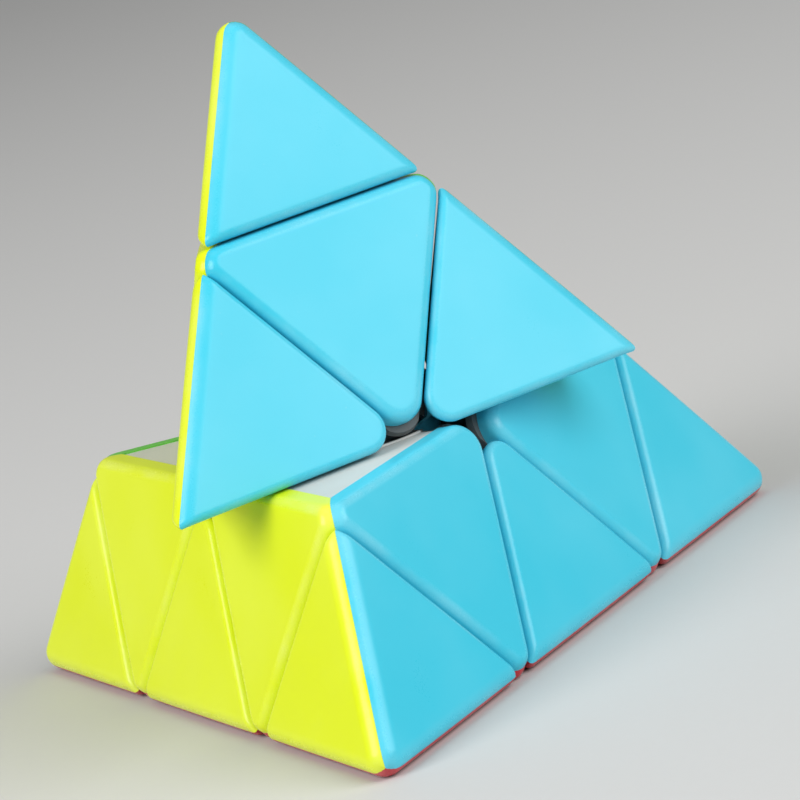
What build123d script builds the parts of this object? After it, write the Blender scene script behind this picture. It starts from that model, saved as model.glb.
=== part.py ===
from build123d import *
import math
import os
from itertools import combinations

# Pyramid twisty puzzle. Origin in its middle, where the four turning axes cross, +Z to the top
# corner, millimetres. Every piece is drawn once in its own frame, which has the same origin and
# the piece's own corner along +Z, and is then put at each place where it is used.

# ---- overall size ----
overall_edge = 98.0          # one edge, over the rounded corners
outer_round = 2.4            # rounding of the six long edges
turn_angle = -28.9           # how far the top layer is turned, seen from above

# ---- outside of the pieces ----
face_round = 0.95            # soft lip where a coloured cap turns into an acute gap
blunt_round = 1.6            # the same lip on the blunt-sided centre pieces
inner_round = 4.0            # inner corner of an edge piece
centre_corner_round = 2.4    # corner of a centre piece at the middle of a face
cap_depth = 2.6              # depth of the coloured caps
base_inset = 0.2             # step from a cap's skirt to the base
relief_radius = 5.4          # round hole at the middle of a face, under the centre caps
relief_start = 3.4           # how far below the face it begins
relief_depth = 6.0
wall = 2.4                   # walls round the hollow under a tip's or an edge piece's cap
centre_wall = 3.2            # the same under a centre piece's cap
pocket_depth = 5.0           # how far an edge piece's hollows go in below their caps
shallow_pocket_depth = 3.0   # the same in the tips and the centre pieces
plug_depth = 1.4             # locating frame under a cap
plug_wall = 1.2
plug_gap = 0.08

# ---- clearances ----
layer_gap = 0.24             # flat gap between layers
tip_gap = 0.3                # flat gap under the tips
running_gap = 0.3            # between curved faces that move past each other
snug_gap = 0.03              # round stems and shanks that stay put
overlap = 0.3                # how far blocks that are joined run into each other
cutter_lead = 1.0            # how far a corner cutter starts outside the face
skin_margin = 1.5            # deeper than any rounded skin

# ---- derived frame ----
sharp_edge = overall_edge + 2 * (math.sqrt(6) - 1) * outer_round
height = sharp_edge * math.sqrt(2 / 3)
face_distance = height / 4
layer_cut = height / 12
tip_cut = 5 * height / 12

# ---- core and the balls that pieces turn on ----
ball_radius = 8.8
post_radius = 3.7
face_cover = 0.9             # left between a cap's locating frame and the feet behind it
foot_thickness = 3.4         # feet of the edge pieces
hub_step = 1.0               # how far a centre piece's round foot stands out past the edge feet
foot_angle = 69.4            # cones that part the feet, from each turning axis
neck_angle = 62.0
neck_radius = face_distance - cap_depth - plug_depth - face_cover
foot_radius = neck_radius - foot_thickness
hub_radius = neck_radius + hub_step
post_top = hub_radius + running_gap
stem_radius = 1.7            # stem that fixes an edge piece to its foot
stem_length = 5.0
stem_top = neck_radius + stem_length

# ---- tip pivot ----
well_radius = 4.4
pivot_depth = 4.2            # plug of the pivot in the centre piece's well
pivot_neck_radius = 3.25
pivot_head_radius = 4.2
shoulder_rise = 2.3          # underside of the snap head over the tip's cut
head_rise = 5.4              # top of the snap head over the tip's cut
socket_chamfer = 0.5
pivot_bottom = tip_cut - pivot_depth
pivot_shoulder = tip_cut + shoulder_rise
pivot_top = tip_cut + head_rise

# ---- tension screw, washer and spring, down the well from the pivot ----
shank_radius = 1.26
shank_space = 0.6            # round the shank in the centre piece's floor
head_radius = 2.7
head_height = 1.8
head_space = 1.05            # between screw head and pivot
slot_width = 0.6
slot_depth = 0.9
washer_radius = 3.9
washer_thickness = 0.63
washer_space = 0.15
spring_radius = 3.15
wire_radius = 0.37
spring_turns = 5
floor_thickness = 1.9        # floor that the spring pushes on
screw_bite = 1.5             # how far the screw goes into the ball
floor_top = post_top + running_gap + floor_thickness
head_top = pivot_bottom - head_space
washer_top = head_top - head_height
spring_top = washer_top - washer_thickness
screw_end = ball_radius - screw_bite

# ---- directions in a piece's own frame ----
own = Vector(0, 0, 1)
second = Vector(math.sqrt(8) / 3, 0, -1 / 3)
third = second.rotate(Axis.Z, 120)
fourth = second.rotate(Axis.Z, -120)
others = (second, third, fourth)

# ---- flat sides of the pieces: direction, distance, and whether the piece lies beyond ----
tip_sides = [(own, tip_cut, True)]
centre_sides = [(own, tip_cut, False), (third, layer_cut, False), (fourth, layer_cut, False)]
edge_sides = [(own, layer_cut, True), (second, layer_cut, True)]

# ---- directions in the whole puzzle ----
top = Vector(0, 0, 1)
front = Vector(0, -math.sqrt(8) / 3, -1 / 3)
right = front.rotate(Axis.Z, 120)
left = front.rotate(Axis.Z, -120)
corners = {"top": top, "front": front, "right": right, "left": left}
colours = {"left": "blue", "right": "yellow", "front": "green", "top": "red"}


def level(direction, distance):
    """Plane square to a corner direction, a distance from the middle."""
    return Plane(origin=direction * distance, z_dir=direction)


def halfway(near, far):
    """Plane between two outer faces, on the side of the face opposite near."""
    return Plane(origin=(0, 0, 0), z_dir=far - near)


def skin_depth(point):
    """How far a point lies under the nearest outer face that meets the piece's own corner."""
    return min(face_distance + point.dot(other) for other in others)


def rim(faces):
    """Edges where the sides of a piece meet its outer skin."""
    sides = [face for face in faces if skin_depth(face.center()) > skin_margin]
    edges = [edge for side in sides for edge in side.edges()]
    return [edge for edge in edges if skin_depth(edge @ 0.5) < 0.5 * outer_round]


def rounded_pyramid():
    """The whole outline with its long edges rounded, in a piece's own frame."""
    size = 4 * height
    with BuildPart() as pyramid:
        Box(size, size, size)
        for direction in (own, *others):
            split(bisect_by=level(direction, -face_distance), keep=Keep.TOP)
        fillet(pyramid.edges(), radius=outer_round)
    return pyramid.part


def tip_outline(pyramid):
    """A corner tip before it is divided into caps and base."""
    with BuildPart() as outline:
        add(pyramid)
        split(bisect_by=level(own, tip_cut + tip_gap / 2), keep=Keep.TOP)
        fillet(rim(outline.faces()), radius=face_round)
    return outline.part


def edge_outline(pyramid):
    """An edge piece, between its own corner and the second corner."""
    with BuildPart() as outline:
        add(pyramid)
        for direction in (own, second):
            split(bisect_by=level(direction, layer_cut + layer_gap / 2), keep=Keep.TOP)
        fillet(outline.edges().filter_by(Axis.Y), radius=inner_round)
        fillet(rim(outline.faces()), radius=face_round)
    return outline.part


def corner_cutter():
    """Rounds a centre piece's corner in the face opposite the second corner."""
    slope = math.asin(1 / 3)
    flare = math.tan(slope)
    reach = 3 * centre_corner_round
    half_angle = math.radians(60)
    up = Vector(math.sin(slope), 0, math.cos(slope))
    gap_shift = layer_gap / math.cos(slope)
    middle = second * -face_distance + up * (2 * centre_corner_round + gap_shift)
    seat = Plane(origin=middle, x_dir=up * -1, z_dir=second).offset(-cutter_lead)
    with BuildPart() as cutter:
        with BuildSketch(seat):
            with BuildLine():
                Polyline(
                    (0, 0),
                    (reach * math.cos(half_angle), reach * math.sin(half_angle)),
                    (reach, 0),
                    (reach * math.cos(half_angle), -reach * math.sin(half_angle)),
                    close=True,
                )
            make_face()
        extrude(amount=reach + cutter_lead)
        with Locations(seat):
            Cone(
                bottom_radius=centre_corner_round - flare * cutter_lead,
                top_radius=centre_corner_round + flare * (reach + cutter_lead),
                height=reach + 2 * cutter_lead,
                align=(Align.CENTER, Align.CENTER, Align.MIN),
                mode=Mode.SUBTRACT,
            )
    return cutter.part


def centre_outline(pyramid):
    """A centre piece: eight-sided, under its own tip."""
    with BuildPart() as outline:
        add(pyramid)
        split(bisect_by=level(own, tip_cut - tip_gap / 2), keep=Keep.BOTTOM)
        split(bisect_by=level(own, layer_cut + layer_gap / 2), keep=Keep.TOP)
        for direction in others:
            split(bisect_by=level(direction, layer_cut - layer_gap / 2), keep=Keep.BOTTOM)
        for turn in range(3):
            add(corner_cutter().rotate(Axis.Z, 120 * turn), mode=Mode.SUBTRACT)
        fillet(rim(outline.faces()), radius=blunt_round)
    return outline.part


def cone_meets_ball(shift, angle, radius):
    """Point of a cone, its apex shifted along the axis, on a ball about the middle."""
    turn = math.radians(angle)
    rest = math.sqrt(radius**2 - (shift * math.sin(turn)) ** 2)
    along = rest - shift * math.cos(turn)
    return Vector(along * math.sin(turn), 0, shift + along * math.cos(turn))


def between(start, end, radius):
    """Point of the ball halfway between two of its points."""
    return (start + end).normalized() * radius


def layer_space(grow):
    """All that turns with one corner, as a turned solid about that corner's axis."""
    foot_shift = -grow / math.sin(math.radians(foot_angle))
    neck_shift = -grow / math.sin(math.radians(neck_angle))
    ledge = foot_radius + grow
    collar = neck_radius - grow
    floor = layer_cut - math.copysign(0.4 * layer_gap, grow)
    reach = 2 * height
    apex = Vector(0, 0, foot_shift)
    foot_out = cone_meets_ball(foot_shift, foot_angle, ledge)
    foot_in = cone_meets_ball(neck_shift, neck_angle, ledge)
    neck_out = cone_meets_ball(neck_shift, neck_angle, collar)
    flat_in = Vector(math.sqrt(collar**2 - floor**2), 0, floor)
    with BuildPart() as space:
        with BuildSketch(Plane.XZ):
            with BuildLine(Plane.XZ):
                Line(to_sketch(apex), to_sketch(foot_out))
                ThreePointArc(
                    to_sketch(foot_out),
                    to_sketch(between(foot_out, foot_in, ledge)),
                    to_sketch(foot_in),
                )
                Line(to_sketch(foot_in), to_sketch(neck_out))
                ThreePointArc(
                    to_sketch(neck_out),
                    to_sketch(between(neck_out, flat_in, collar)),
                    to_sketch(flat_in),
                )
                Polyline(to_sketch(flat_in), (reach, floor), (reach, reach), (0, reach), to_sketch(apex))
            make_face()
        revolve(axis=Axis.Z)
    return space.part


def to_sketch(point):
    """A point of the XZ plane as sketch coordinates."""
    return (point.X, point.Z)


def toward(direction):
    """Turns a solid made about +Z so that it lies about one of the other corners."""
    return Plane(origin=(0, 0, 0), z_dir=direction)


def region(keep_top, keep_bottom):
    """Convex block between planes."""
    size = 3 * height
    with BuildPart() as block:
        Box(size, size, size)
        for plane in keep_top:
            split(bisect_by=plane, keep=Keep.TOP)
        for plane in keep_bottom:
            split(bisect_by=plane, keep=Keep.BOTTOM)
    return block.part


def hollow(face, sides, mitres, inset, start, depth):
    """Block under one face, set in from the piece's flat sides and mitres."""
    inside = [level(face, start - face_distance)]
    inside += [level(way, place + inset) for way, place, far in sides if far]
    inside += [halfway(face, other).offset(inset / 2) for other in mitres]
    outside = [level(face, start + depth - face_distance)]
    outside += [level(way, place - inset) for way, place, far in sides if not far]
    return region(inside, outside)


def cap(outline, face, sides, mitres, inset):
    """Coloured cap on one face: a plate with mitred sides and a locating frame underneath."""
    frame = inset + plug_gap
    with BuildPart() as plate:
        add(outline)
        split(bisect_by=level(face, cap_depth - face_distance), keep=Keep.BOTTOM)
        for other in mitres:
            split(bisect_by=halfway(face, other), keep=Keep.TOP)
        add(hollow(face, sides, mitres, frame, cap_depth - overlap, plug_depth + overlap))
        space = hollow(face, sides, mitres, frame + plug_wall, cap_depth, plug_depth)
        add(space, mode=Mode.SUBTRACT)
    return plate.part


def tip_base(outline):
    """Pale inside of a tip, with the socket that snaps over the pivot."""
    bore = pivot_head_radius + running_gap
    lip = pivot_neck_radius + running_gap
    start = tip_cut + tip_gap / 2 + base_inset
    with BuildPart() as base:
        add(outline)
        for other in others:
            split(bisect_by=level(other, cap_depth - face_distance), keep=Keep.TOP)
        split(bisect_by=level(own, start), keep=Keep.TOP)
        for turn in range(3):
            block = hollow(second, tip_sides, (third, fourth), wall, cap_depth, shallow_pocket_depth)
            add(block.rotate(Axis.Z, 120 * turn), mode=Mode.SUBTRACT)
        ledge = pivot_shoulder - running_gap
        with Locations((0, 0, start - 1)):
            Cylinder(
                radius=lip,
                height=ledge - start + 2,
                align=(Align.CENTER, Align.CENTER, Align.MIN),
                mode=Mode.SUBTRACT,
            )
        with Locations((0, 0, ledge)):
            Cylinder(
                radius=bore,
                height=pivot_top + running_gap - ledge,
                align=(Align.CENTER, Align.CENTER, Align.MIN),
                mode=Mode.SUBTRACT,
            )
        chamfer(base.edges().filter_by(GeomType.CIRCLE).sort_by(Axis.Z)[0], length=socket_chamfer)
    return base.part


def tip_pivot():
    """Plug that closes a centre piece's well and carries the tip."""
    flange = tip_cut - tip_gap / 2 - base_inset
    with BuildPart() as pivot:
        with BuildSketch(Plane.XZ):
            with BuildLine(Plane.XZ):
                Polyline(
                    (0, pivot_bottom),
                    (well_radius - 0.4, pivot_bottom),
                    (well_radius, pivot_bottom + 0.6),
                    (well_radius, flange),
                    (pivot_neck_radius, flange),
                    (pivot_neck_radius, pivot_shoulder),
                    (pivot_head_radius, pivot_shoulder + 0.5),
                    (pivot_head_radius, pivot_shoulder + 1.2),
                    (pivot_neck_radius, pivot_top),
                    (0, pivot_top),
                    close=True,
                )
            make_face()
        revolve(axis=Axis.Z)
    return pivot.part


def centre_base(outline, inner_space, outer_space):
    """Pale inside of a centre piece: stem round the core's post, spring well and three hollows."""
    with BuildPart() as base:
        add(outline)
        for other in others:
            split(bisect_by=level(other, cap_depth - face_distance), keep=Keep.TOP)
        split(bisect_by=level(own, tip_cut - tip_gap / 2 - base_inset), keep=Keep.BOTTOM)
        for other in others:
            split(bisect_by=level(other, layer_cut - layer_gap / 2 - base_inset), keep=Keep.BOTTOM)
        Sphere(radius=hub_radius)
        add(inner_space, mode=Mode.INTERSECT)
        for other in others:
            add(outer_space.moved(toward(other).location), mode=Mode.SUBTRACT)
        Sphere(radius=ball_radius + running_gap, mode=Mode.SUBTRACT)
        Cylinder(
            radius=post_radius + running_gap,
            height=post_top + running_gap,
            align=(Align.CENTER, Align.CENTER, Align.MIN),
            mode=Mode.SUBTRACT,
        )
        Cylinder(
            radius=shank_radius + shank_space,
            height=floor_top + 1,
            align=(Align.CENTER, Align.CENTER, Align.MIN),
            mode=Mode.SUBTRACT,
        )
        with Locations((0, 0, floor_top)):
            Cylinder(
                radius=well_radius,
                height=tip_cut - floor_top,
                align=(Align.CENTER, Align.CENTER, Align.MIN),
                mode=Mode.SUBTRACT,
            )
        for turn in range(3):
            block = hollow(second, centre_sides, (), centre_wall, cap_depth, shallow_pocket_depth)
            add(block.rotate(Axis.Z, 120 * turn), mode=Mode.SUBTRACT)
        for other in others:
            with Locations(level(other, relief_start - face_distance)):
                Cylinder(
                    radius=relief_radius,
                    height=relief_depth,
                    align=(Align.CENTER, Align.CENTER, Align.MIN),
                    mode=Mode.SUBTRACT,
                )
    return base.part


def edge_seat():
    """Plane across an edge piece's own line from the middle of the puzzle outward."""
    return Plane(origin=(0, 0, 0), x_dir=(0, 1, 0), z_dir=own + second)


def edge_base(outline):
    """Pale inside of an edge piece, seated on its foot."""
    with BuildPart() as base:
        add(outline)
        for other in (third, fourth):
            split(bisect_by=level(other, cap_depth - face_distance), keep=Keep.TOP)
        for direction in (own, second):
            split(bisect_by=level(direction, layer_cut + layer_gap / 2 + base_inset), keep=Keep.TOP)
        Sphere(radius=neck_radius, mode=Mode.SUBTRACT)
        with Locations(edge_seat()):
            Cylinder(
                radius=stem_radius + snug_gap,
                height=stem_top + running_gap,
                align=(Align.CENTER, Align.CENTER, Align.MIN),
                mode=Mode.SUBTRACT,
            )
        for face, other in ((third, fourth), (fourth, third)):
            block = hollow(face, edge_sides, (other,), wall, cap_depth, pocket_depth)
            add(block, mode=Mode.SUBTRACT)
    return base.part


def edge_foot(inner_space):
    """Curved foot that keeps an edge piece under the centre pieces, with its stem."""
    with BuildPart() as foot:
        Sphere(radius=neck_radius - snug_gap)
        add(inner_space, mode=Mode.INTERSECT)
        add(inner_space.moved(toward(second).location), mode=Mode.INTERSECT)
        Sphere(radius=ball_radius + running_gap, mode=Mode.SUBTRACT)
        with Locations(edge_seat().offset(neck_radius - 1)):
            Cylinder(
                radius=stem_radius,
                height=stem_top - neck_radius + 1,
                align=(Align.CENTER, Align.CENTER, Align.MIN),
            )
    return foot.part


def core():
    """Ball with four posts, one toward each corner, bored for the screws."""
    with BuildPart() as spider:
        Sphere(radius=ball_radius)
        for direction in corners.values():
            with Locations(level(direction, 0)):
                Cylinder(
                    radius=post_radius,
                    height=post_top,
                    align=(Align.CENTER, Align.CENTER, Align.MIN),
                )
        for direction in corners.values():
            with Locations(level(direction, screw_end - 1)):
                Cylinder(
                    radius=shank_radius + snug_gap,
                    height=post_top,
                    align=(Align.CENTER, Align.CENTER, Align.MIN),
                    mode=Mode.SUBTRACT,
                )
    return spider.part


def screw():
    """Pan-headed tension screw with a cross recess."""
    slot_length = 1.8 * head_radius
    with BuildPart() as fastener:
        with Locations((0, 0, screw_end)):
            Cylinder(
                radius=shank_radius,
                height=washer_top - screw_end,
                align=(Align.CENTER, Align.CENTER, Align.MIN),
            )
        with Locations((0, 0, washer_top)):
            Cylinder(
                radius=head_radius,
                height=head_top - washer_top,
                align=(Align.CENTER, Align.CENTER, Align.MIN),
            )
        fillet(fastener.edges().sort_by(Axis.Z)[-1], radius=0.7)
        chamfer(fastener.edges().sort_by(Axis.Z)[0], length=0.5)
        with Locations((0, 0, head_top)):
            Box(slot_length, slot_width, 2 * slot_depth, mode=Mode.SUBTRACT)
            Box(slot_width, slot_length, 2 * slot_depth, mode=Mode.SUBTRACT)
    return fastener.part


def washer():
    """Flat ring between spring and screw head."""
    with BuildPart() as ring:
        with Locations((0, 0, spring_top)):
            Cylinder(
                radius=washer_radius,
                height=washer_top - spring_top,
                align=(Align.CENTER, Align.CENTER, Align.MIN),
            )
            Cylinder(
                radius=shank_radius + washer_space,
                height=washer_top - spring_top,
                align=(Align.CENTER, Align.CENTER, Align.MIN),
                mode=Mode.SUBTRACT,
            )
    return ring.part


def spring():
    """Compression spring between the centre piece's floor and the washer."""
    low = floor_top + wire_radius
    rise = spring_top - wire_radius - low
    with BuildPart() as coil:
        with BuildLine():
            Helix(
                pitch=rise / spring_turns,
                height=rise,
                radius=spring_radius,
                center=(0, 0, low),
            )
        with BuildSketch(Plane.XZ):
            with Locations((spring_radius, low)):
                Circle(wire_radius)
        sweep(is_frenet=True)
    return coil.part


def place(corner, neighbour, turned):
    """Where a piece drawn in its own frame goes: own corner, then the second corner."""
    seat = Plane(origin=(0, 0, 0), x_dir=neighbour + corner / 3, z_dir=corner)
    turn = Location((0, 0, 0), (0, 0, turn_angle if turned else 0))
    return turn * seat.location


def put(name, shapes_and_places):
    """One named piece made of a solid set at each of its places, written out."""
    with BuildPart() as piece:
        for shape, spot in shapes_and_places:
            add(shape.moved(spot))
    piece.part.label = name
    export_step(piece.part, "parts/" + name + ".step")


def neighbours(name):
    """The other three corners, in turning order seen from outside."""
    rest = [other for other in corners if other != name]
    first, one, two = rest
    if corners[name].cross(corners[first]).dot(corners[one]) < 0:
        one, two = two, one
    return first, one, two


def make_tips(pyramid):
    """Four tips, each a base and three caps."""
    outline = tip_outline(pyramid)
    base = tip_base(outline)
    shell = cap(outline, second, tip_sides, (third, fourth), wall)
    for name in corners:
        turned = name == "top"
        around = neighbours(name)
        seat = place(corners[name], corners[around[0]], turned)
        put("tip_" + name + "_base", [(base, seat)])
        for face in around:
            spot = place(corners[name], corners[face], turned)
            put("tip_" + name + "_" + colours[face] + "_cap", [(shell, spot)])


def make_centres(pyramid, inner_space, outer_space):
    """Four centre pieces, each a base and three caps, and the tip pivots in their wells."""
    outline = centre_outline(pyramid)
    base = centre_base(outline, inner_space, outer_space)
    shell = cap(outline, second, centre_sides, (third, fourth), centre_wall)
    pivot = tip_pivot()
    seats = {}
    for name in corners:
        turned = name == "top"
        around = neighbours(name)
        seats[name] = place(corners[name], corners[around[0]], turned)
        put("centre_" + name + "_base", [(base, seats[name])])
        for face in around:
            spot = place(corners[name], corners[face], turned)
            put("centre_" + name + "_" + colours[face] + "_cap", [(shell, spot)])
    put("tip_pivot_top", [(pivot, seats["top"])])
    put("tip_pivots_lower", [(pivot, seats[name]) for name in ("front", "right", "left")])
    put("core", [(core(), Location((0, 0, 0)))])
    put("tension_screws", [(screw(), seat) for seat in seats.values()])
    put("washers", [(washer(), seat) for seat in seats.values()])
    put("springs", [(spring(), seat) for seat in seats.values()])


def make_edges(pyramid, inner_space):
    """Six edge pieces, each a base and two caps, and the feet that hold them."""
    outline = edge_outline(pyramid)
    base = edge_base(outline)
    shell = cap(outline, fourth, edge_sides, (third,), wall)
    foot = edge_foot(inner_space)
    feet = {True: [], False: []}
    for name, other in combinations(corners, 2):
        turned = name == "top"
        label = "edge_" + name + "_" + other
        seat = place(corners[name], corners[other], turned)
        back = place(corners[other], corners[name], turned)
        put(label + "_base", [(base, seat)])
        feet[turned].append((foot, seat))
        for pair, spot in (((name, other), seat), ((other, name), back)):
            face = opposite(*pair)
            put(label + "_" + colours[face] + "_cap", [(shell, spot)])
    put("edge_feet_top", feet[True])
    put("edge_feet_lower", feet[False])


def opposite(name, other):
    """The corner that is fourth in the frame whose first two corners are given."""
    rest = [corner for corner in corners if corner not in (name, other)]
    side = corners[name].cross(corners[other])
    return min(rest, key=lambda corner: side.dot(corners[corner]))


# ---- making ----
os.makedirs("parts", exist_ok=True)
outside = rounded_pyramid()
own_space = layer_space(-running_gap / 2)
free_space = layer_space(running_gap / 2)
make_tips(outside)
make_centres(outside, own_space, free_space)
make_edges(outside, own_space)
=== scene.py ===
"""Pyramid twisty puzzle: coloured caps, pale inner pieces, core and a plain studio, round the CAD frame."""

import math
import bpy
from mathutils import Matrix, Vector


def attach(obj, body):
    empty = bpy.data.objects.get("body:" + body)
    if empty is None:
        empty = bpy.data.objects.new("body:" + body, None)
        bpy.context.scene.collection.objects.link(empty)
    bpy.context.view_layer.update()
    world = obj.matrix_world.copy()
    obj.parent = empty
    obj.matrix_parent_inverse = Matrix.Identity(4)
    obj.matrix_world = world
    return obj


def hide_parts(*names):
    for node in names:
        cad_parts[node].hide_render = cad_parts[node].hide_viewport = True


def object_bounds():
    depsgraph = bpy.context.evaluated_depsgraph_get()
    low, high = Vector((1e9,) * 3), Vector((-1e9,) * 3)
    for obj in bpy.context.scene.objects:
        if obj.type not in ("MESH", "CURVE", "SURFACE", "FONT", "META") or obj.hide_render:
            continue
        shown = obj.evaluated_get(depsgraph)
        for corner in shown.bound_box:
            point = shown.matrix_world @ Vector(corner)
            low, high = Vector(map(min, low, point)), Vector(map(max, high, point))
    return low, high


bl_info = {
    "name": "Pyramid Puzzle",
    "version": (1, 0, 0),
    "blender": (4, 5, 0),
    "location": "View3D > Sidebar > Puzzle",
    "description": "Builds a part-turned pyramid puzzle and its studio",
    "category": "Object",
}

import bmesh
import bpy
from bpy.props import FloatProperty, FloatVectorProperty, IntProperty, PointerProperty
from mathutils import Matrix, Vector

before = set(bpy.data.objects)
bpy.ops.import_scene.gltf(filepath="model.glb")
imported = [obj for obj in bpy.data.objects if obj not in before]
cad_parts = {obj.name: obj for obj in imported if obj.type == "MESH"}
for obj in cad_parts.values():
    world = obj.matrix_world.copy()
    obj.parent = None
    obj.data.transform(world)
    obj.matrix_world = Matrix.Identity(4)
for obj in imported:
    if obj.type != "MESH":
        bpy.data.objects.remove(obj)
CAD_BOX = [list(corner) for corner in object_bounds()]

# ---- the puzzle's own geometry, worked out from the frame ----
FACE_DISTANCE = -CAD_BOX[0][2]
SHARP_EDGE = 4 * FACE_DISTANCE / math.sqrt(2 / 3)
FACE_INRADIUS = SHARP_EDGE / (2 * math.sqrt(3))
MM = 0.001
ACUTE = math.acos(1 / 3)
BLUNT = math.pi - ACUTE
THIRD_TURN = 2 * math.pi / 3

TOP = Vector((0, 0, 1))
FRONT = Vector((0, -math.sqrt(8) / 3, -1 / 3))
RIGHT = Matrix.Rotation(THIRD_TURN, 3, "Z") @ FRONT
LEFT = Matrix.Rotation(-THIRD_TURN, 3, "Z") @ FRONT
CORNERS = {"top": TOP, "front": FRONT, "right": RIGHT, "left": LEFT}
FACE_OPPOSITE = {"blue": "left", "yellow": "right", "green": "front", "red": "top"}


def layer_turn_in_frame():
    """How far the top layer stands turned in the frame, read from its blue cap's flat face."""
    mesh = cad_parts["centre_top_blue_cap"].data
    flat = max(mesh.polygons, key=lambda polygon: polygon.area)
    unturned = -LEFT
    return math.atan2(flat.normal.y, flat.normal.x) - math.atan2(unturned.y, unturned.x)


LAYER_TURN = layer_turn_in_frame()


# ---- sizes and colours a user would change ----
class PuzzleCapSizes(bpy.types.PropertyGroup):
    """Shape of the coloured caps."""

    outer_round: FloatProperty(
        name="Outer Rounding",
        description="Rounding of the pyramid's six long edges",
        default=2.4 * MM,
        min=0.5 * MM,
        max=5 * MM,
        precision=5,
        unit="LENGTH",
    )
    tip_lip: FloatProperty(
        name="Tip Lip",
        description="Lip radius along the foot of a corner tip's cap",
        default=1.1 * MM,
        min=0.2 * MM,
        max=3 * MM,
        precision=5,
        unit="LENGTH",
    )
    edge_lip: FloatProperty(
        name="Edge Lip",
        description="Lip radius along the two gap sides of an edge piece's cap",
        default=0.95 * MM,
        min=0.2 * MM,
        max=3 * MM,
        precision=5,
        unit="LENGTH",
    )
    blunt_lip: FloatProperty(
        name="Blunt Lip",
        description="Lip radius round the centre pieces' caps",
        default=1.6 * MM,
        min=0.2 * MM,
        max=3 * MM,
        precision=5,
        unit="LENGTH",
    )
    centre_corner: FloatProperty(
        name="Centre Corner",
        description="Corner radius of a centre cap's flat at the middle of a face",
        default=1.75 * MM,
        min=0.2 * MM,
        max=5 * MM,
        precision=5,
        unit="LENGTH",
    )
    edge_corner: FloatProperty(
        name="Edge Corner",
        description="Corner radius of an edge cap's flat at the middle of a face",
        default=2.1 * MM,
        min=0.2 * MM,
        max=4 * MM,
        precision=5,
        unit="LENGTH",
    )
    outer_corner: FloatProperty(
        name="Outer Corner",
        description="Corner radius of a centre cap's flat at the long edges",
        default=0.5 * MM,
        min=0.1 * MM,
        max=3 * MM,
        precision=5,
        unit="LENGTH",
    )
    depth: FloatProperty(
        name="Cap Depth",
        description="Depth of a cap's skirt",
        default=2.6 * MM,
        min=1 * MM,
        max=5 * MM,
        precision=5,
        unit="LENGTH",
    )
    crown: FloatProperty(
        name="Crown",
        description="How far a cap's edge lies below its middle",
        default=0.06 * MM,
        min=0,
        max=0.5 * MM,
        precision=6,
        unit="LENGTH",
    )
    layer_gap: FloatProperty(
        name="Layer Gap",
        description="Gap between layers",
        default=0.24 * MM,
        min=0,
        max=1 * MM,
        precision=6,
        unit="LENGTH",
    )
    tip_gap: FloatProperty(
        name="Tip Gap",
        description="Gap under the corner tips",
        default=0.3 * MM,
        min=0,
        max=1 * MM,
        precision=6,
        unit="LENGTH",
    )
    lip_steps: IntProperty(
        name="Lip Steps",
        description="Faces across a lip",
        default=9,
        min=3,
        max=24,
    )


def colour_property(name, description, default):
    """A colour setting of the finish."""
    return FloatVectorProperty(
        name=name, description=description, subtype="COLOR", size=3, min=0, max=1, default=default
    )


class PuzzleFinish(bpy.types.PropertyGroup):
    """Colours and surface of the plastics."""

    blue: colour_property("Blue", "Plastic of the blue caps", (0.055, 0.60, 0.78))
    yellow: colour_property("Yellow", "Plastic of the yellow caps", (0.80, 0.92, 0.006))
    green: colour_property("Green", "Plastic of the green caps", (0.14, 0.62, 0.06))
    red: colour_property("Red", "Plastic of the red caps", (0.58, 0.02, 0.035))
    pale: colour_property("Pale", "Plastic of the inner pieces", (0.66, 0.67, 0.64))
    # The grey is also painted shade in the hollows of the centre bases.
    grey: colour_property("Grey", "Plastic of core, pivots and inmost parts", (0.035, 0.045, 0.045))
    roughness: FloatProperty(
        name="Roughness",
        description="Mean roughness of the caps",
        default=0.3,
        min=0,
        max=1,
        subtype="FACTOR",
    )


class PuzzleStage(bpy.types.PropertyGroup):
    """Floor, lights and camera."""

    floor: colour_property("Floor", "Colour of the floor", (0.62, 0.62, 0.61))
    lens: FloatProperty(
        name="Lens",
        description="Focal length of the camera",
        default=181.0,
        min=20,
        max=400,
        subtype="DISTANCE_CAMERA",
    )
    distance: FloatProperty(
        name="Distance",
        description="From the camera to the point it looks at",
        default=0.5021,
        min=0.1,
        max=5,
        unit="LENGTH",
    )
    azimuth: FloatProperty(
        name="Azimuth",
        description="Side of the puzzle the camera stands on",
        default=math.radians(4.81),
        subtype="ANGLE",
    )
    elevation: FloatProperty(
        name="Elevation",
        description="Height of the camera over the horizon",
        default=math.radians(12.22),
        subtype="ANGLE",
    )
    roll: FloatProperty(
        name="Roll",
        description="Lean of the camera about its own line of sight",
        default=math.radians(15.35),
        subtype="ANGLE",
    )
    aim: FloatVectorProperty(
        name="Aim",
        description="Point the camera looks at",
        default=(7.66 * MM, 2.41 * MM, 8.11 * MM),
        size=3,
        precision=5,
        unit="LENGTH",
        subtype="TRANSLATION",
    )
    key_power: FloatProperty(
        name="Key Power", description="Power of the key light", default=11.8, min=0, unit="POWER"
    )
    fill_power: FloatProperty(
        name="Fill Power", description="Power of the fill light", default=9.5, min=0, unit="POWER"
    )
    top_power: FloatProperty(
        name="Top Power", description="Power of the overhead light", default=1.6, min=0, unit="POWER"
    )
    surround: FloatProperty(
        name="Surround", description="Strength of the light from all round", default=0.22, min=0
    )


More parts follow.
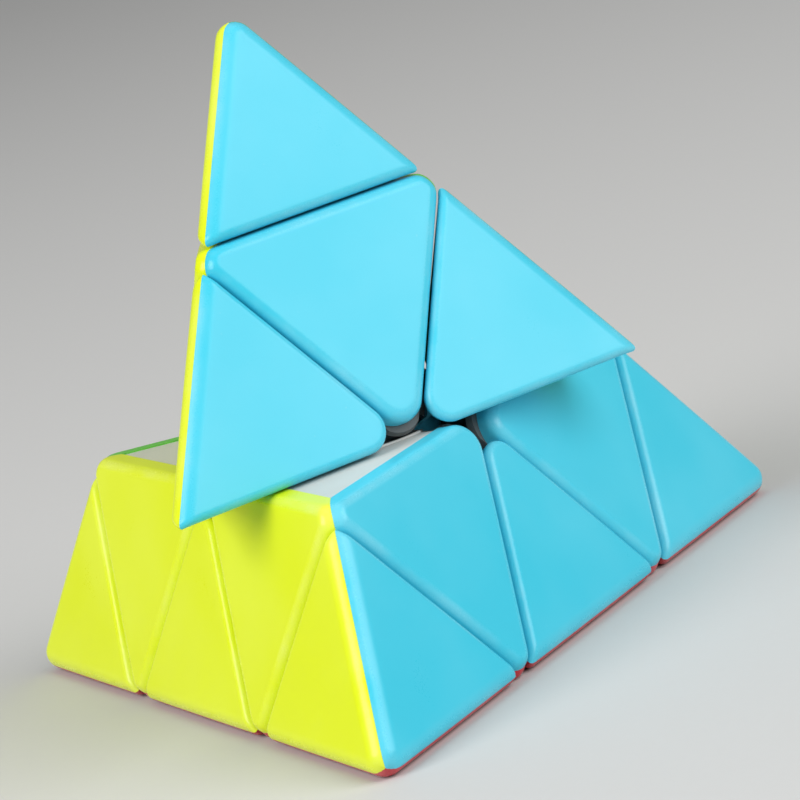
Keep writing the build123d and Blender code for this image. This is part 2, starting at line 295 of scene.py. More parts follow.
# ---- cap shape ----
PATH_SPACING = 0.45 * MM
CORNER_STEPS = 16
FLAT_SHARES = (0.1, 0.22, 0.34, 0.46, 0.56)
RIM_SHARE = 0.36
RIM_STEPS = 12
WALL_SHARES = (0.33, 0.66, 1.0)
SEAM_LIP = 0.02 * MM
SEAM_GAP = 0.008 * MM
SPARE_SHARE = 0.2
FALL_LIMIT = 0.97
FALL_SLOPE = 4
WORN_FALL = 0.3
LIP_CORNER = math.radians(30)
SHARP_ANGLE = math.radians(32)
ON_PLANE = 1e-7
WELD = 1e-6
SEAM_WELD = 2e-6


def direction(angle):
    """Unit vector in the face's plane."""
    return Vector((math.cos(angle), math.sin(angle)))


def crossing(side, other):
    """Where the inner lines of two sides of a cap meet."""
    n, m = direction(side["angle"]), direction(other["angle"])
    det = n.x * m.y - n.y * m.x
    reach, far = side["reach"] - side["band"], other["reach"] - other["band"]
    return Vector(((reach * m.y - far * n.y) / det, (far * n.x - reach * m.x) / det))


def cap_side(angle, reach, lip, dihedral):
    """One side of a cap: where its sharp line lies and how its lip turns into the gap."""
    return {
        "angle": angle,
        "reach": reach,
        "lip": lip,
        "turn": math.pi - dihedral,
        "band": lip / math.tan(dihedral / 2),
    }


def cap_sides(kind, sizes):
    """The three sides of a tip, centre or edge cap, in turning order, and its corner radii."""
    shift = 1 / math.sin(ACUTE)
    layer, tip = sizes.layer_gap / 2 * shift, sizes.tip_gap / 2 * shift
    spare = SPARE_SHARE * sizes.outer_round
    if kind == "tip":
        sides = [
            cap_side(-THIRD_TURN / 2, FACE_INRADIUS - spare, SEAM_LIP, math.pi / 2),
            cap_side(THIRD_TURN / 2, FACE_INRADIUS - spare, SEAM_LIP, math.pi / 2),
            cap_side(math.pi, -FACE_INRADIUS - tip, sizes.tip_lip, ACUTE),
        ]
        return sides, (0, 0, 0)
    if kind == "centre":
        sides = [
            cap_side(0, FACE_INRADIUS - tip, sizes.blunt_lip, BLUNT),
            cap_side(THIRD_TURN, -layer, sizes.blunt_lip, BLUNT),
            cap_side(-THIRD_TURN, -layer, sizes.blunt_lip, BLUNT),
        ]
        return sides, (sizes.outer_corner, sizes.centre_corner, sizes.outer_corner)
    sides = [
        cap_side(0, FACE_INRADIUS - spare, SEAM_LIP, math.pi / 2),
        cap_side(THIRD_TURN, -layer, sizes.edge_lip, ACUTE),
        cap_side(-THIRD_TURN, -layer, sizes.edge_lip, ACUTE),
    ]
    return sides, (0, sizes.edge_corner, 0)


def long_edges(kind):
    """In-plane angles of the face's long edges, as seen from this kind of cap."""
    first = 0 if kind == "edge" else THIRD_TURN / 2
    return [first + THIRD_TURN * step for step in range(3)]


def flat_path(sides, radii):
    """Points round the flat of a cap, each with its lip's heading, radius and turn."""
    path = []
    for index, side in enumerate(sides):
        following = sides[(index + 1) % 3]
        before = sides[index - 1]
        start, end = crossing(before, side), crossing(side, following)
        along = (end - start).normalized()
        start_radius, end_radius = radii[index - 1], radii[index]
        trim = 1 / math.tan(LIP_CORNER)
        start += along * start_radius * trim
        end -= along * end_radius * trim
        steps = max(2, round((end - start).length / PATH_SPACING))
        for step in range(steps + 1):
            path.append((start.lerp(end, step / steps), side["angle"], side["lip"], side["turn"]))
        turn = (following["angle"] - side["angle"]) % (2 * math.pi)
        middle = end - direction(side["angle"]) * end_radius
        for step in range(1, CORNER_STEPS):
            share = step / CORNER_STEPS
            angle = side["angle"] + turn * share
            lip = side["lip"] + (following["lip"] - side["lip"]) * share
            bend = side["turn"] + (following["turn"] - side["turn"]) * share
            if end_radius and max(side["turn"], following["turn"]) < math.pi / 2:
                bend += (math.pi / 2 - bend) * math.sin(math.pi * share)
            path.append((middle + direction(angle) * end_radius, angle, lip, bend))
    return path


def outer_fall(point, edges, outer_round):
    """How far the rounded long edges and corners lie below the face at a point of it."""
    band = outer_round * math.sqrt(2)
    reach = FACE_INRADIUS - band
    normals = [direction(angle) for angle in edges]
    over = [normal.dot(point) - reach for normal in normals]
    if max(over) <= 0:
        return 0.0
    worst = over.index(max(over))
    normal = normals[worst]
    tangent = Vector((-normal.y, normal.x))
    along = tangent.dot(point)
    half = reach * math.sqrt(3)
    past = max(0.0, abs(along) - half)
    away = math.hypot(over[worst], past)
    limit = FALL_LIMIT * outer_round
    fall = outer_round - math.sqrt(outer_round**2 - min(away, limit) ** 2)
    return fall + max(0.0, away - limit) * FALL_SLOPE


def cap_mesh(kind, sizes):
    """A closed cap in the face's own frame: +Z out of the face, +X to its corner or long edge."""
    sides, radii = cap_sides(kind, sizes)
    edges = long_edges(kind)
    path = flat_path(sides, radii)
    middle = sum((spot[0] for spot in path), Vector((0, 0))) / len(path)
    spread = max((spot[0] - middle).length for spot in path)
    shape = bmesh.new()
    lip_mark = shape.verts.layers.float.new("lip")

    def vertex(point, depth, mark):
        dome = sizes.crown * min(1.0, ((point - middle).length / spread) ** 2)
        fall = outer_fall(point, edges, sizes.outer_round)
        corner = shape.verts.new((point.x, point.y, FACE_DISTANCE - depth - fall - dome))
        corner[lip_mark] = max(mark, min(1.0, fall / (WORN_FALL * sizes.outer_round)))
        return corner

    rings = []
    near_rim = [1 - RIM_SHARE * step / RIM_STEPS for step in range(RIM_STEPS, -1, -1)]
    for share in (*FLAT_SHARES, *near_rim):
        rings.append([vertex(middle.lerp(spot[0], share), 0.0, 0.0) for spot in path])
    for step in range(1, sizes.lip_steps + 1):
        share = step / sizes.lip_steps
        mark = math.sin(math.pi * min(1.0, share * 1.2))
        ring = []
        for point, angle, lip, turn in path:
            bend = turn * share
            out = direction(angle) * lip * math.sin(bend)
            ring.append(vertex(point + out, lip * (1 - math.cos(bend)), mark))
        rings.append(ring)
    for share in WALL_SHARES:
        ring = []
        for point, angle, lip, turn in path:
            start = lip * (1 - math.cos(turn))
            drop = (sizes.depth - start) * share
            out = lip * math.sin(turn) + drop / math.tan(turn)
            ring.append(vertex(point + direction(angle) * out, start + drop, 0.0))
        rings.append(ring)
    count = len(path)
    for inner, outer in zip(rings, rings[1:]):
        for index in range(count):
            following = (index + 1) % count
            shape.faces.new((inner[index], outer[index], outer[following], inner[following]))
    close_ring(shape, rings[0], vertex(middle, 0.0, 0.0))
    for corner in rings[-1]:
        corner.co.z = FACE_DISTANCE - sizes.depth
    floor = shape.verts.new((middle.x, middle.y, FACE_DISTANCE - sizes.depth))
    close_ring(shape, rings[-1][::-1], floor)
    bmesh.ops.remove_doubles(shape, verts=shape.verts, dist=WELD)
    cut_mitres(shape, edges)
    bmesh.ops.recalc_face_normals(shape, faces=shape.faces)
    return finished_mesh(shape, kind + "_cap")


def close_ring(shape, ring, middle):
    """Closes a ring of corners with a fan."""
    for index, corner in enumerate(ring):
        shape.faces.new((middle, corner, ring[(index + 1) % len(ring)]))


def cut_mitres(shape, edges):
    """Cuts a cap along the planes where it meets the caps of the neighbouring faces."""
    for angle in edges:
        way = direction(angle)
        normal = Vector((way.x * FACE_DISTANCE, way.y * FACE_DISTANCE, -FACE_INRADIUS)).normalized()
        everything = shape.verts[:] + shape.edges[:] + shape.faces[:]
        bmesh.ops.bisect_plane(
            shape,
            geom=everything,
            dist=ON_PLANE,
            plane_co=normal * -SEAM_GAP,
            plane_no=normal,
            clear_outer=True,
        )
        open_edges = [edge for edge in shape.edges if edge.is_boundary]
        if open_edges:
            filled = bmesh.ops.holes_fill(shape, edges=open_edges, sides=0)
            bmesh.ops.triangulate(shape, faces=filled["faces"])
    bmesh.ops.remove_doubles(shape, verts=shape.verts, dist=SEAM_WELD)
    bmesh.ops.dissolve_degenerate(shape, edges=shape.edges, dist=ON_PLANE)


def finished_mesh(shape, name):
    """Turns a bmesh into a smooth-shaded mesh with its sharp edges marked."""
    mesh = bpy.data.meshes.new(name)
    shape.to_mesh(mesh)
    shape.free()
    mesh.shade_smooth()
    mesh.set_sharp_from_angle(angle=SHARP_ANGLE)
    return mesh


# ---- rows of like caps round a face ----
def face_row_tree():
    """Geometry nodes that set one cap round a face in equal turns, tilt it to the face and turn the layer."""
    tree = bpy.data.node_groups.new("Caps Round a Face", "GeometryNodeTree")
    face = tree.interface
    face.new_socket("Geometry", in_out="OUTPUT", socket_type="NodeSocketGeometry")
    face.new_socket("Cap", in_out="INPUT", socket_type="NodeSocketGeometry")
    count = face.new_socket("Count", in_out="INPUT", socket_type="NodeSocketInt")
    count.default_value, count.min_value = 1, 1
    for name in ("First Turn", "Step", "Layer Turn"):
        socket = face.new_socket(name, in_out="INPUT", socket_type="NodeSocketFloat")
        socket.subtype = "ANGLE"
    face.new_socket("Face Tilt", in_out="INPUT", socket_type="NodeSocketVector")
    face.new_socket("Plastic", in_out="INPUT", socket_type="NodeSocketMaterial")
    nodes, links = tree.nodes, tree.links
    given = nodes.new("NodeGroupInput")
    result = nodes.new("NodeGroupOutput")
    seats = nodes.new("GeometryNodeMeshLine")
    seats.inputs["Offset"].default_value = (0, 0, 0)
    placed = nodes.new("GeometryNodeInstanceOnPoints")
    index = nodes.new("GeometryNodeInputIndex")
    turned = nodes.new("ShaderNodeMath")
    turned.operation = "MULTIPLY_ADD"
    about_face = nodes.new("ShaderNodeCombineXYZ")
    face_turn = nodes.new("FunctionNodeEulerToRotation")
    tilted = nodes.new("GeometryNodeTransform")
    about_axis = nodes.new("ShaderNodeCombineXYZ")
    layered = nodes.new("GeometryNodeTransform")
    real = nodes.new("GeometryNodeRealizeInstances")
    coloured = nodes.new("GeometryNodeSetMaterial")
    links.new(given.outputs["Count"], seats.inputs["Count"])
    links.new(seats.outputs["Mesh"], placed.inputs["Points"])
    links.new(given.outputs["Cap"], placed.inputs["Instance"])
    links.new(index.outputs["Index"], turned.inputs[0])
    links.new(given.outputs["Step"], turned.inputs[1])
    links.new(given.outputs["First Turn"], turned.inputs[2])
    links.new(turned.outputs["Value"], about_face.inputs["Z"])
    links.new(about_face.outputs["Vector"], face_turn.inputs[0])
    links.new(face_turn.outputs[0], placed.inputs["Rotation"])
    links.new(placed.outputs["Instances"], tilted.inputs["Geometry"])
    links.new(given.outputs["Face Tilt"], tilted.inputs["Rotation"])
    links.new(given.outputs["Layer Turn"], about_axis.inputs["Z"])
    links.new(tilted.outputs["Geometry"], layered.inputs["Geometry"])
    links.new(about_axis.outputs["Vector"], layered.inputs["Rotation"])
    links.new(layered.outputs["Geometry"], real.inputs["Geometry"])
    links.new(real.outputs["Geometry"], coloured.inputs["Geometry"])
    links.new(given.outputs["Plastic"], coloured.inputs["Material"])
    links.new(coloured.outputs["Geometry"], result.inputs["Geometry"])
    for place, node in enumerate(nodes):
        node.location = (180 * place, 0)
    return tree


def shared_tree(name, make):
    """A node tree made on first use."""
    return bpy.data.node_groups.get(name) or make()


def face_frame(colour, corner):
    """Axes of a face: +X to one of its corners, +Z out of the face."""
    out = -CORNERS[FACE_OPPOSITE[colour]]
    toward = CORNERS[corner] - out * CORNERS[corner].dot(out)
    across = out.cross(toward)
    return Matrix((toward.normalized(), across.normalized(), out)).transposed()


def corners_round(colour, first):
    """The face's corners in turning order about its outward normal, starting with one of them."""
    axes = face_frame(colour, first)
    rest = [name for name in CORNERS if name not in (first, FACE_OPPOSITE[colour])]
    rest.sort(key=lambda name: -axes.col[1].dot(CORNERS[name]))
    return [first, *rest]


def bake(obj):
    """Replaces an object's nodes by the plain mesh they make."""
    graph = bpy.context.evaluated_depsgraph_get()
    result = obj.evaluated_get(graph)
    mesh = bpy.data.meshes.new_from_object(result, preserve_all_data_layers=True, depsgraph=graph)
    obj.modifiers.clear()
    old = obj.data
    obj.data = mesh
    mesh.name = obj.name
    if old.users == 0:
        bpy.data.meshes.remove(old)


def set_inputs(modifier, values):
    """Sets a modifier's inputs by the identifiers of its tree's sockets."""
    for item in modifier.node_group.interface.items_tree:
        if item.item_type == "SOCKET" and item.in_out == "INPUT" and item.name in values:
            modifier[item.identifier] = values[item.name]


def cap_row(name, cap, colour, first, count, lead, body, stands_for):
    """Bakes one row of like caps on a face, rides it on its body and hides the CAD caps it stands for."""
    obj = bpy.data.objects.new(name, cap.copy())
    bpy.context.scene.collection.objects.link(obj)
    modifier = obj.modifiers.new("Caps", "NODES")
    modifier.node_group = shared_tree("Caps Round a Face", face_row_tree)
    turned = body in ("top_layer", "tip_top")
    values = {
        "Count": count,
        "First Turn": lead,
        "Step": THIRD_TURN,
        "Layer Turn": LAYER_TURN if turned else 0.0,
        "Face Tilt": face_frame(colour, first).to_euler("XYZ"),
        "Plastic": plastic(colour),
    }
    set_inputs(modifier, values)
    bpy.context.view_layer.update()
    bake(obj)
    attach(obj, body)
    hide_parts(*stands_for)


def edge_name(one, other):
    """Name of the edge piece between two corners, in the order the frame uses."""
    order = list(CORNERS)
    first, second = sorted((one, other), key=order.index)
    return "edge_" + first + "_" + second


# ---- materials ----
WHITE = (1, 1, 1, 1)
SHADE = (0.90, 0.90, 0.91, 1)
WORN = (0.92, 0.94, 0.93, 1)
DUST = (0.88, 0.87, 0.85, 1)
CAP_SKIN = {"tone": 0.35, "grain": 1.0, "wear": 0.10, "bump": 0.004 * MM}
BASE_SKIN = {"roughness": 0.5, "tone": 0.8, "grain": 1.6, "wear": 0.0, "bump": 0.01 * MM}
CORE_SKIN = {"roughness": 0.42, "tone": 0.6, "grain": 1.4, "wear": 0.0, "bump": 0.01 * MM}
STEEL_DARK = (0.55, 0.55, 0.57, 1)
STEEL_BRIGHT = (0.70, 0.70, 0.71, 1)
DRAWN_LINES = (900, 900, 9000)
GROUP_PLACE = (-750, 200)


def group_tree(name, inputs, outputs):
    """An empty shader group with named sockets, and its two ends."""
    tree = bpy.data.node_groups.new(name, "ShaderNodeTree")
    for label, kind, value in inputs:
        socket = tree.interface.new_socket(label, in_out="INPUT", socket_type=kind)
        socket.default_value = value
    for label, kind in outputs:
        tree.interface.new_socket(label, in_out="OUTPUT", socket_type=kind)
    return tree, tree.nodes.new("NodeGroupInput"), tree.nodes.new("NodeGroupOutput")


def noise(tree, vector, scale, detail, roughness=0.5):
    """A noise texture on the given coordinates."""
    node = tree.nodes.new("ShaderNodeTexNoise")
    node.inputs["Scale"].default_value = scale
    node.inputs["Detail"].default_value = detail
    node.inputs["Roughness"].default_value = roughness
    tree.links.new(vector, node.inputs["Vector"])
    return node.outputs["Fac"]


def remap(tree, value, low, high, new_low=0.0, new_high=1.0):
    """A clamped linear remap of a value."""
    node = tree.nodes.new("ShaderNodeMapRange")
    for socket, number in zip(("From Min", "From Max", "To Min", "To Max"), (low, high, new_low, new_high)):
        node.inputs[socket].default_value = number
    tree.links.new(value, node.inputs["Value"])
    return node.outputs["Result"]


def maths(tree, operation, first, second):
    """A maths node whose inputs are sockets or numbers."""
    node = tree.nodes.new("ShaderNodeMath")
    node.operation = operation
    for socket, given in zip(node.inputs, (first, second)):
        if isinstance(given, (int, float)):
            socket.default_value = given
        else:
            tree.links.new(given, socket)
    return node.outputs["Value"]


def mix_colour(tree, share, first, second, blend="MIX"):
    """A colour mix whose inputs are sockets or values."""
    node = tree.nodes.new("ShaderNodeMix")
    node.data_type = "RGBA"
    node.blend_type = blend
    for socket, given in ((node.inputs[0], share), (node.inputs[6], first), (node.inputs[7], second)):
        if hasattr(given, "links"):
            tree.links.new(given, socket)
        else:
            socket.default_value = given
    return node.outputs[2]


def moulded_skin_tree():
    """Surface of moulded plastic: soft tone clouds, fine grain, faint flow lines and handling polish."""
    tree, given, result = group_tree(
        "Moulded Skin",
        (
            ("Colour", "NodeSocketColor", (0.5, 0.5, 0.5, 1)),
            ("Roughness", "NodeSocketFloat", 0.35),
            ("Tone", "NodeSocketFloat", 0.06),
            ("Grain", "NodeSocketFloat", 1.0),
            ("Polish", "NodeSocketFloat", 0.06),
            ("Wear", "NodeSocketFloat", 0.12),
        ),
        (("Colour", "NodeSocketColor"), ("Roughness", "NodeSocketFloat"), ("Height", "NodeSocketFloat")),
    )
    links = tree.links
    place = tree.nodes.new("ShaderNodeTexCoord").outputs["Object"]
    clouds = noise(tree, place, scale=42.0, detail=3.0)
    grain = noise(tree, place, scale=5200.0, detail=2.0)
    waves = noise(tree, place, scale=260.0, detail=2.0, roughness=0.4)
    smears = noise(tree, place, scale=95.0, detail=5.0, roughness=0.62)
    specks = noise(tree, place, scale=1500.0, detail=2.0)
    mark = tree.nodes.new("ShaderNodeAttribute")
    mark.attribute_name = "lip"
    lip = mark.outputs["Fac"]
    darker = mix_colour(tree, 1.0, given.outputs["Colour"], SHADE, "MULTIPLY")
    lighter = mix_colour(tree, 0.10, given.outputs["Colour"], WHITE)
    cloud_share = remap(tree, clouds, 0.35, 0.65)
    toned = mix_colour(tree, cloud_share, darker, lighter)
    tone = mix_colour(tree, given.outputs["Tone"], given.outputs["Colour"], toned)
    worn_share = maths(tree, "MULTIPLY", lip, remap(tree, smears, 0.42, 0.66))
    worn_share = maths(tree, "MULTIPLY", worn_share, given.outputs["Wear"])
    worn = mix_colour(tree, worn_share, tone, WORN)
    speck_share = remap(tree, specks, 0.74, 0.80, 0.0, 0.04)
    links.new(mix_colour(tree, speck_share, worn, DUST), result.inputs["Colour"])
    rough = maths(tree, "ADD", given.outputs["Roughness"], remap(tree, smears, 0.3, 0.7, -0.02, 0.03))
    rough = maths(tree, "ADD", rough, remap(tree, grain, 0.3, 0.7, -0.015, 0.015))
    rough = maths(tree, "ADD", rough, remap(tree, specks, 0.74, 0.80, 0.0, 0.05))
    rough = maths(tree, "SUBTRACT", rough, maths(tree, "MULTIPLY", lip, given.outputs["Polish"]))
    links.new(rough, result.inputs["Roughness"])
    height = maths(tree, "MULTIPLY", grain, given.outputs["Grain"])
    height = maths(tree, "ADD", height, maths(tree, "MULTIPLY", waves, 0.8))
    links.new(height, result.inputs["Height"])
    return tree


def skin_material(name, colour, roughness, tone, grain, wear, bump):
    """A plastic with the moulded skin."""
    material = bpy.data.materials.get(name)
    if material:
        return material
    material = bpy.data.materials.new(name)
    material.use_nodes = True
    material.diffuse_color = (*colour, 1)
    tree = material.node_tree
    shader = tree.nodes["Principled BSDF"]
    skin = tree.nodes.new("ShaderNodeGroup")
    skin.name = "Skin"
    skin.node_tree = shared_tree("Moulded Skin", moulded_skin_tree)
    skin.inputs["Colour"].default_value = (*colour, 1)
    for label, value in (("Roughness", roughness), ("Tone", tone), ("Grain", grain), ("Wear", wear)):
        skin.inputs[label].default_value = value
    relief = tree.nodes.new("ShaderNodeBump")
    relief.inputs["Strength"].default_value = 1.0
    relief.inputs["Distance"].default_value = bump
    tree.links.new(skin.outputs["Colour"], shader.inputs["Base Color"])
    tree.links.new(skin.outputs["Roughness"], shader.inputs["Roughness"])
    tree.links.new(skin.outputs["Height"], relief.inputs["Height"])
    tree.links.new(relief.outputs["Normal"], shader.inputs["Normal"])
    shader.inputs["IOR"].default_value = 1.5
    shader.inputs["Specular IOR Level"].default_value = 0.34
    skin.location, relief.location = (-500, 200), (-250, -200)
    return material


def plastic(colour):
    """Plastic of a cap."""
    finish = bpy.context.scene.puzzle_finish
    name = colour.capitalize() + " Plastic"
    return skin_material(name, tuple(getattr(finish, colour)), finish.roughness, **CAP_SKIN)


def unturned_place(tree, turn):
    """Object coordinates with the layer's own turn taken back."""
    place = tree.nodes.new("ShaderNodeTexCoord").outputs["Object"]
    unturned = tree.nodes.new("ShaderNodeVectorRotate")
    unturned.rotation_type = "Z_AXIS"
    tree.links.new(place, unturned.inputs["Vector"])
    tree.links.new(maths(tree, "MULTIPLY", turn, -1.0), unturned.inputs["Angle"])
    return unturned.outputs["Vector"]


def along_axis(tree, place, axis):
    """How far a place lies along an axis through the middle."""
    reach = tree.nodes.new("ShaderNodeVectorMath")
    reach.operation = "DOT_PRODUCT"
    reach.inputs[1].default_value = axis
    tree.links.new(place, reach.inputs[0])
    return reach.outputs["Value"]


def length_of(tree, vector):
    """Length of a vector."""
    node = tree.nodes.new("ShaderNodeVectorMath")
    node.operation = "LENGTH"
    tree.links.new(vector, node.inputs[0])
    return node.outputs["Value"]


def inner_grey_and_hollow_shade_tree():
    """Where a base is grey: its inmost part near the middle, and painted shade in the hollows round the
    faces' middles.
    """
    tree, given, result = group_tree(
        "Inner Zone",
        (
            ("Turn", "NodeSocketFloat", 0.0),
            ("Core Radius", "NodeSocketFloat", 17.2 * MM),
            ("Hollow Radius", "NodeSocketFloat", 5.75 * MM),
        ),
        (("Share", "NodeSocketFloat"),),
    )
    unturned = unturned_place(tree, given.outputs["Turn"])
    share = maths(tree, "LESS_THAN", length_of(tree, unturned), given.outputs["Core Radius"])
    # Painted shade: the hollow round each face's middle is made grey, standing in for the deep shadow inside
    # it.
    for opposite in FACE_OPPOSITE.values():
        along = along_axis(tree, unturned, -CORNERS[opposite])
        across = tree.nodes.new("ShaderNodeVectorMath")
        across.operation = "CROSS_PRODUCT"
        across.inputs[1].default_value = -CORNERS[opposite]
        tree.links.new(unturned, across.inputs[0])
        offset = length_of(tree, across.outputs["Vector"])
        in_painted_shade = maths(tree, "LESS_THAN", offset, given.outputs["Hollow Radius"])
        outward = maths(tree, "GREATER_THAN", along, 0.0)
        share = maths(tree, "MAXIMUM", share, maths(tree, "MULTIPLY", in_painted_shade, outward))
    tree.links.new(share, result.inputs["Share"])
    return tree


def inner_plastic_with_hollow_shade(name, turn):
    """Pale plastic of the inner bases, with their inmost part in the grey of the core and painted shade in
    the face hollows.
    """
    finish = bpy.context.scene.puzzle_finish
    material = skin_material(name, tuple(finish.pale), **BASE_SKIN)
    tree = material.node_tree
    grey_and_shade_zone = tree.nodes.new("ShaderNodeGroup")
    grey_and_shade_zone.node_tree = shared_tree("Inner Zone", inner_grey_and_hollow_shade_tree)
    grey_and_shade_zone.inputs["Turn"].default_value = turn
    pale, grey = (*finish.pale, 1), (*finish.grey, 1)
    # Mixes in the grey: the core's grey for the inmost part, and painted shade in the hollows round the
    # faces' middles.
    tree.links.new(mix_colour(tree, grey_and_shade_zone.outputs["Share"], pale, grey), tree.nodes["Skin"].inputs["Colour"])
    grey_and_shade_zone.location = GROUP_PLACE
    return material


def core_plastic():
    """Dark plastic of the core and the pivots."""
    finish = bpy.context.scene.puzzle_finish
    return skin_material("Grey Core Plastic", tuple(finish.grey), **CORE_SKIN)


def nearest_face_tree():
    """Colour of the outer face that a point of the puzzle lies nearest to."""
    tree, given, result = group_tree(
        "Nearest Face",
        [("Turn", "NodeSocketFloat", 0.0)]
        + [(colour.capitalize(), "NodeSocketColor", (0.5, 0.5, 0.5, 1)) for colour in FACE_OPPOSITE],
        (("Colour", "NodeSocketColor"),),
    )
    unturned = unturned_place(tree, given.outputs["Turn"])
    best, chosen = None, None
    for colour, opposite in FACE_OPPOSITE.items():
        along = along_axis(tree, unturned, -CORNERS[opposite])
        plastic_colour = given.outputs[colour.capitalize()]
        if best is None:
            best, chosen = along, plastic_colour
            continue
        nearer = maths(tree, "GREATER_THAN", along, best)
        chosen = mix_colour(tree, nearer, chosen, plastic_colour)
        best = maths(tree, "MAXIMUM", along, best)
    tree.links.new(chosen, result.inputs["Colour"])
    return tree


def halves_plastic(name, turn):
    """Plastic of the edge pieces' bases and feet: each half in the colour of its own face."""
    finish = bpy.context.scene.puzzle_finish
    material = skin_material(name, tuple(finish.grey), **BASE_SKIN)
    tree = material.node_tree
    faces = tree.nodes.new("ShaderNodeGroup")
    faces.node_tree = shared_tree("Nearest Face", nearest_face_tree)
    faces.inputs["Turn"].default_value = turn
    for colour in FACE_OPPOSITE:
        faces.inputs[colour.capitalize()].default_value = (*getattr(finish, colour), 1)
    tree.links.new(faces.outputs["Colour"], tree.nodes["Skin"].inputs["Colour"])
    faces.location = GROUP_PLACE
    return material


def steel():
    """Bright drawn steel."""
    material = bpy.data.materials.new("Bright Steel")
    material.use_nodes = True
    tree = material.node_tree
    shader = tree.nodes["Principled BSDF"]
    place = tree.nodes.new("ShaderNodeTexCoord").outputs["Object"]
    drawn = tree.nodes.new("ShaderNodeMapping")
    drawn.inputs["Scale"].default_value = DRAWN_LINES
    tree.links.new(place, drawn.inputs["Vector"])
    lines = noise(tree, drawn.outputs["Vector"], scale=1.0, detail=2.0)
    colour = mix_colour(tree, lines, STEEL_DARK, STEEL_BRIGHT)
    tree.links.new(colour, shader.inputs["Base Color"])
    tree.links.new(remap(tree, lines, 0.3, 0.7, 0.22, 0.38), shader.inputs["Roughness"])
    shader.inputs["Metallic"].default_value = 1.0
    return material


def paint(node, material):
    """Gives a CAD node its material."""
    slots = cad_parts[node].data.materials
    slots.clear()
    slots.append(material)


# ---- operators ----
class PUZZLE_OT_tip_caps(bpy.types.Operator):
    """Caps of the four corner tips"""

    bl_idname = "puzzle.tip_caps"
    bl_label = "Tip Caps"

    def execute(self, context):
        cap = cap_mesh("tip", context.scene.puzzle_caps)
        for corner in CORNERS:
            for colour, opposite in FACE_OPPOSITE.items():
                if opposite == corner:
                    continue
                tip = "tip_" + corner
                name = tip + "_" + colour
                cap_row(name + "_shell", cap, colour, corner, 1, 0.0, tip, [name + "_cap"])
        return {"FINISHED"}


class PUZZLE_OT_centre_caps(bpy.types.Operator):
    """Caps of the four centre pieces"""

    bl_idname = "puzzle.centre_caps"
    bl_label = "Centre Caps"

    def execute(self, context):
        cap = cap_mesh("centre", context.scene.puzzle_caps)
        for colour, opposite in FACE_OPPOSITE.items():
            first = "front" if opposite == "top" else "top"
            around = corners_round(colour, first)
            nodes = ["centre_" + corner + "_" + colour + "_cap" for corner in around]
            if opposite == "top":
                cap_row("centre_lower_red_shells", cap, colour, first, 3, 0.0, "lower", nodes)
                continue
            cap_row("centre_top_" + colour + "_shell", cap, colour, first, 1, 0.0, "top_layer", nodes[:1])
            name = "centre_lower_" + colour + "_shells"
            cap_row(name, cap, colour, first, 2, THIRD_TURN, "lower", nodes[1:])
        return {"FINISHED"}


class PUZZLE_OT_edge_caps(bpy.types.Operator):
    """Caps of the six edge pieces"""

    bl_idname = "puzzle.edge_caps"
    bl_label = "Edge Caps"

    def execute(self, context):
        cap = cap_mesh("edge", context.scene.puzzle_caps)
        half = math.pi
        for colour, opposite in FACE_OPPOSITE.items():
            first = "front" if opposite == "top" else "top"
            around = corners_round(colour, first)
            nodes = []
            for corner in around:
                ends = [name for name in around if name != corner]
                nodes.append(edge_name(*ends) + "_" + colour + "_cap")
            if opposite == "top":
                cap_row("edge_lower_red_shells", cap, colour, first, 3, half, "lower", nodes)
                continue
            cap_row("edge_lower_" + colour + "_shell", cap, colour, first, 1, half, "lower", nodes[:1])
            name = "edge_top_" + colour + "_shells"
            cap_row(name, cap, colour, first, 2, half + THIRD_TURN, "top_layer", nodes[1:])
        return {"FINISHED"}


class PUZZLE_OT_inner_bases(bpy.types.Operator):
    """Finish of the bodies under the caps, with painted shade in the centre bases' hollows"""

    bl_idname = "puzzle.inner_bases"
    bl_label = "Inner Bases"

    def execute(self, context):
        # The pale inner plastics carry painted shade in the hollows round the faces' middles.
        upper_pale_with_shade = inner_plastic_with_hollow_shade("Upper Inner Plastic", LAYER_TURN)
        pale = inner_plastic_with_hollow_shade("Lower Inner Plastic", 0.0)
        upper = halves_plastic("Upper Edge Halves", LAYER_TURN)
        lower = halves_plastic("Lower Edge Halves", 0.0)
        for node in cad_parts:
            if node.startswith("edge_top") or node == "edge_feet_top":
                paint(node, upper)
            elif node.startswith("edge_"):
                paint(node, lower)
            elif node == "centre_top_base":
                paint(node, upper_pale_with_shade)
            elif node.endswith("_base"):
                paint(node, pale)
        return {"FINISHED"}


class PUZZLE_OT_core_parts(bpy.types.Operator):
    """Finish of the core, pivots and steel hardware"""

    bl_idname = "puzzle.core_parts"
    bl_label = "Core Parts"

    def execute(self, context):
        dark = core_plastic()
        for node in ("core", "tip_pivot_top", "tip_pivots_lower"):
            paint(node, dark)
        bright = steel()
        for node in ("tension_screws", "washers", "springs"):
            paint(node, bright)
        return {"FINISHED"}


class PUZZLE_OT_studio(bpy.types.Operator):
    """Floor, soft lights and camera"""

    bl_idname = "puzzle.studio"
    bl_label = "Studio"

    def execute(self, context):
        stage = context.scene.puzzle_stage
        make_floor(stage)
        make_lights(stage)
        make_camera(stage)
        return {"FINISHED"}


# ---- floor, lights and camera ----
FLOOR_HALF = 3.0
FLOOR_FIBRE = (0.5, 0.5, 0.5, 1)
SENSOR_WIDTH = 36.0


